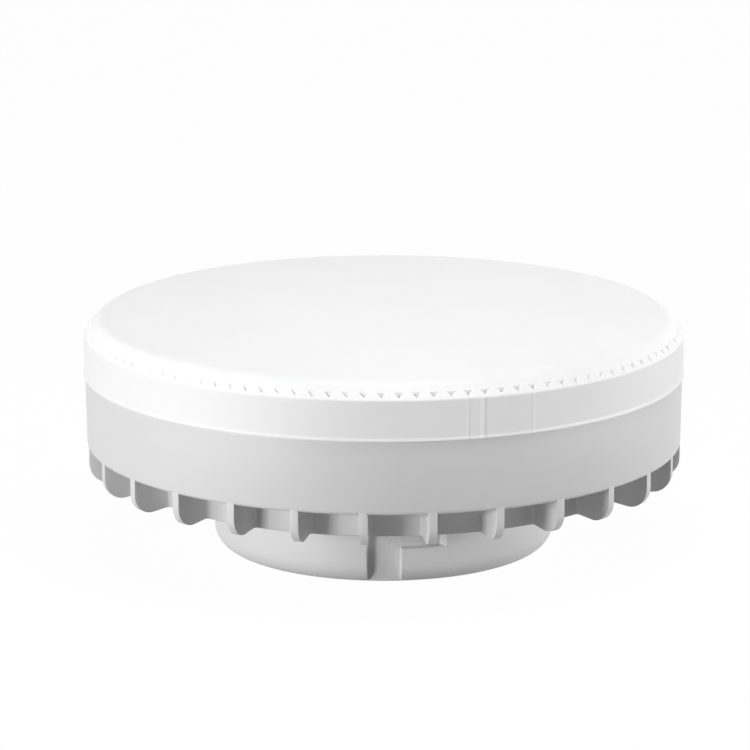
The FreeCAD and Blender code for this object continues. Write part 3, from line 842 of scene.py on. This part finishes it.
def make_body():
    bm = bmesh.new()
    take_in(bm, band())
    take_in(bm, ringed(fin(), FIN_COUNT, FRONT + FIN_PHASE, WHITE))
    take_in(bm, hub())
    take_in(bm, board_ribs())
    take_in(bm, screw_bosses())
    for face in bm.faces:
        face.material_index = 0
    body = to_object(bm, "finned_body", [WHITE])
    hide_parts("body_shell")
    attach(body, "root")


# finishes of the solids that are shown as they are

def finishes():
    """The material for each node of the frame."""
    nickel = metal("nickel_plate", (0.66, 0.64, 0.58), (0.80, 0.78, 0.72), 0.24, (1, 1, 6))
    brass = metal("strip_brass", (0.62, 0.47, 0.20), (0.78, 0.62, 0.30), 0.32, (8, 1, 1))
    chip_black = coated("chip_black", (0.012, 0.012, 0.013), (0.03, 0.03, 0.032), 0.55, 3000.0, 0.3)
    link_plastic = moulded_plastic("link_plastic", (0.72, 0.71, 0.67), (0.78, 0.77, 0.73), 0.45)
    return {
        "diffuser_cover": OPAL,
        "body_shell": WHITE,
        "contact_pin_left": nickel,
        "contact_pin_right": nickel,
        "contact_strip_left": brass,
        "contact_strip_right": brass,
        "heat_spreader": metal(
            "pressed_aluminium", (0.60, 0.61, 0.62), (0.76, 0.77, 0.78), 0.38, (1, 12, 1), 300.0),
        "board_screws": metal(
            "zinc_plate", (0.50, 0.51, 0.53), (0.68, 0.69, 0.71), 0.30),
        "link_pins": metal(
            "tinned_pins", (0.62, 0.60, 0.55), (0.78, 0.76, 0.70), 0.28, (1, 1, 8)),
        "link_header": link_plastic,
        "link_socket": link_plastic,
        "output_capacitor": metal(
            "bare_can", (0.66, 0.66, 0.68), (0.80, 0.80, 0.82), 0.22, (1, 1, 5)),
        "smoothing_capacitor": coated(
            "capacitor_sleeve", (0.02, 0.03, 0.07), (0.04, 0.05, 0.11), 0.30, 400.0, 0.05),
        "film_capacitor": coated(
            "dipped_red", (0.34, 0.03, 0.02), (0.50, 0.06, 0.04), 0.30, 500.0, 0.15),
        "choke_winding": wound_wire(
            "enamelled_wire", (0.16, 0.05, 0.02), (0.72, 0.30, 0.12), 0.32),
        "choke_core": coated(
            "ferrite", (0.03, 0.03, 0.035), (0.08, 0.08, 0.085), 0.55, 2200.0, 0.3),
        "led_board": coated(
            "white_solder_mask", (0.80, 0.80, 0.78), (0.88, 0.88, 0.86), 0.40, 900.0, 0.05),
        "led_chips": coated(
            "phosphor_window", (0.84, 0.72, 0.20), (0.92, 0.84, 0.36), 0.35, 2500.0, 0.1),
        "driver_board": coated(
            "green_solder_mask", (0.02, 0.12, 0.05), (0.05, 0.20, 0.09), 0.36, 800.0, 0.08),
        "varistor": coated(
            "dipped_blue", (0.02, 0.07, 0.26), (0.05, 0.13, 0.40), 0.34, 600.0, 0.15),
        "fuse_resistor": coated(
            "resistor_coat", (0.12, 0.22, 0.16), (0.20, 0.32, 0.24), 0.45, 900.0, 0.2),
        "chip_resistors": coated(
            "resistor_glaze", (0.015, 0.015, 0.015), (0.05, 0.05, 0.05), 0.35, 2500.0, 0.1),
        "bridge_rectifier": chip_black,
        "driver_chip": chip_black,
        "freewheel_diode": chip_black,
    }


def finish_nodes():
    """Gives each node its material, and the round ones a smooth shading."""
    materials = finishes()
    for name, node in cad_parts.items():
        node.data.materials.clear()
        node.data.materials.append(materials[name])
        if name.startswith(("contact_pin", "smoothing", "choke", "output")):
            node.data.shade_smooth()
            node.data.set_sharp_from_angle(angle=math.radians(CAD_SMOOTH_ANGLE))


# floor, light and camera

def seen_directly(tree):
    """One for rays from the camera, a mirror or a window, and nothing for scattered light."""
    path = tree.nodes.new("ShaderNodeLightPath")
    mirror = tree.nodes.new("ShaderNodeMath")
    mirror.operation = "MAXIMUM"
    window = tree.nodes.new("ShaderNodeMath")
    window.operation = "MAXIMUM"
    link_nodes(tree, path, "Is Camera Ray", mirror, 0)
    link_nodes(tree, path, "Is Glossy Ray", mirror, 1)
    link_nodes(tree, mirror, 0, window, 0)
    link_nodes(tree, path, "Is Transmission Ray", window, 1)
    return window


def make_floor():
    """A pale floor: white with a light shadow to the eye, and grey to the light it throws back."""
    bm = bmesh.new()
    bmesh.ops.create_grid(bm, x_segments=1, y_segments=1, size=FLOOR_HALF)
    bmesh.ops.translate(bm, verts=bm.verts, vec=(0, 0, -FLOOR_DROP * MM))
    material, tree, grey = blank_material("pale_floor")
    grey.inputs["Base Color"].default_value = FLOOR_GREY
    grey.inputs["Roughness"].default_value = 0.9
    grey.inputs["Specular IOR Level"].default_value = 0.0
    shaded = tree.nodes.new("ShaderNodeBsdfDiffuse")
    shaded.inputs["Color"].default_value = WHITE_LIGHT
    even = tree.nodes.new("ShaderNodeEmission")
    white = tree.nodes.new("ShaderNodeMixShader")
    white.inputs["Fac"].default_value = FLOOR_WHITENESS
    both = tree.nodes.new("ShaderNodeMixShader")
    link_nodes(tree, shaded, "BSDF", white, 1)
    link_nodes(tree, even, "Emission", white, 2)
    link_nodes(tree, seen_directly(tree), 0, both, "Fac")
    link_nodes(tree, grey, "BSDF", both, 1)
    link_nodes(tree, white, "Shader", both, 2)
    link_nodes(tree, both, "Shader", tree.nodes["Material Output"], "Surface")
    to_object(bm, "floor", [material])


def softbox(name, azimuth, elevation, distance, size, power):
    """An area light aimed at the lamp; azimuth 0 is the camera's side, positive to the right."""
    light = bpy.data.lights.new(name, "AREA")
    light.shape = "RECTANGLE"
    light.size, light.size_y = size
    light.energy = power
    obj = bpy.data.objects.new(name, light)
    bpy.context.scene.collection.objects.link(obj)
    a, e = math.radians(azimuth), math.radians(elevation)
    away = Vector((math.sin(a) * math.cos(e), -math.cos(a) * math.cos(e), math.sin(e)))
    obj.location = Vector((0, 0, LIGHT_AIM_Z * MM)) + away * distance
    obj.rotation_euler = away.to_track_quat("Z", "Y").to_euler()


def make_world():
    """A surround that is white to the eye and lights nothing."""
    world = bpy.data.worlds.new("studio")
    world.use_nodes = True
    bpy.context.scene.world = world
    tree = world.node_tree
    surround = tree.nodes["Background"]
    surround.inputs["Color"].default_value = WHITE_LIGHT
    link_nodes(tree, seen_directly(tree), 0, surround, "Strength")


def make_camera():
    camera = bpy.data.cameras.new("camera")
    camera.sensor_width = CAMERA_SENSOR
    camera.lens = CAMERA_LENS
    camera.clip_start, camera.clip_end = CAMERA_RANGE
    obj = bpy.data.objects.new("camera", camera)
    obj.location = Vector(CAMERA_PLACE) * MM
    obj.rotation_euler = (math.radians(90 - CAMERA_DOWN), 0, 0)
    bpy.context.scene.collection.objects.link(obj)
    bpy.context.scene.camera = obj


make_cover()
make_body()
finish_nodes()
make_floor()
for light in LIGHTS:
    softbox(*light)
make_world()
make_camera()
bpy.context.scene.view_settings.view_transform = "Standard"
